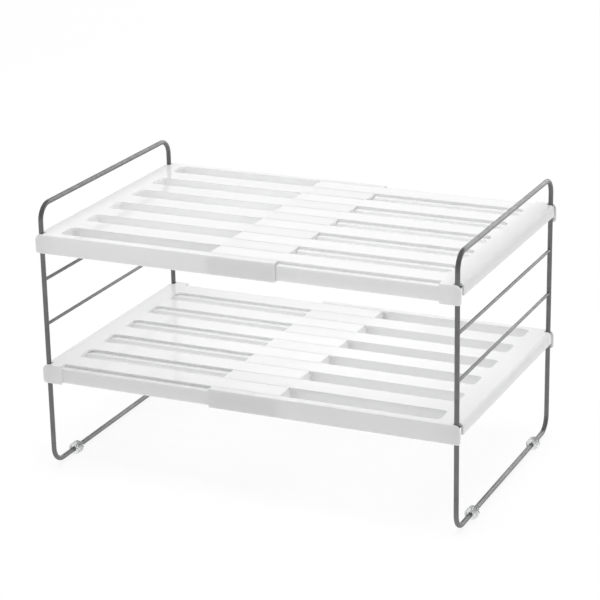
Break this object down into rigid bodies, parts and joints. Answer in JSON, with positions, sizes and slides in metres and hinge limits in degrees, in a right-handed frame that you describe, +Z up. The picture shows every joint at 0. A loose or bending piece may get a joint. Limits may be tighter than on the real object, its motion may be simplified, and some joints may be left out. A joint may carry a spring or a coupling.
{
  "type": "tiered shelf riser",
  "caption": "Two-tier countertop shelf riser with extending slotted shelves hooked on wire side frames.",
  "frame": {"origin": "on the floor, in the middle of the footprint", "axes": "+X along the shelves to the right, +Y to the back, +Z up"},
  "size_m": [0.4116, 0.259, 0.2582],
  "materials": {
    "frame_wire": "satin grey coating on steel wire",
    "shelf_plastic": "smooth white moulding",
    "foot_plastic": "clear soft ring"
  },
  "bodies": {
    "left_frame": {"left_loop": "frame_wire", "left_lower_shelf_rung": "frame_wire", "left_lower_middle_rung": "frame_wire", "left_upper_middle_rung": "frame_wire", "left_upper_shelf_rung": "frame_wire", "left_front_foot": "foot_plastic", "left_back_foot": "foot_plastic"},
    "right_frame": {"right_loop": "frame_wire", "right_lower_shelf_rung": "frame_wire", "right_lower_middle_rung": "frame_wire", "right_upper_middle_rung": "frame_wire", "right_upper_shelf_rung": "frame_wire", "right_front_foot": "foot_plastic", "right_back_foot": "foot_plastic"},
    "upper_outer": {"upper_outer_panel": "shelf_plastic"},
    "upper_inner": {"upper_inner_panel": "shelf_plastic"},
    "lower_outer": {"lower_outer_panel": "shelf_plastic"},
    "lower_inner": {"lower_inner_panel": "shelf_plastic"}
  },
  "joints": [
    {"name": "width_slide", "type": "slide", "parent": "left_frame", "child": "right_frame", "axis": [1, 0, 0], "range_m": [-0.144, 0.02]},
    {"name": "upper_lift", "type": "slide", "parent": "left_frame", "child": "upper_outer", "axis": [0, 0, 1], "range_m": [0, 0.015]},
    {"name": "upper_inner_lift", "type": "slide", "parent": "right_frame", "child": "upper_inner", "axis": [0, 0, 1], "range_m": [0, 0.015]},
    {"name": "lower_lift", "type": "slide", "parent": "right_frame", "child": "lower_outer", "axis": [0, 0, 1], "range_m": [0, 0.035]},
    {"name": "lower_inner_lift", "type": "slide", "parent": "left_frame", "child": "lower_inner", "axis": [0, 0, 1], "range_m": [0, 0.035]}
  ],
  "couplings": [
    {"joint": "upper_inner_lift", "follows": "upper_lift", "ratio": 1},
    {"joint": "lower_inner_lift", "follows": "lower_lift", "ratio": 1}
  ]
}
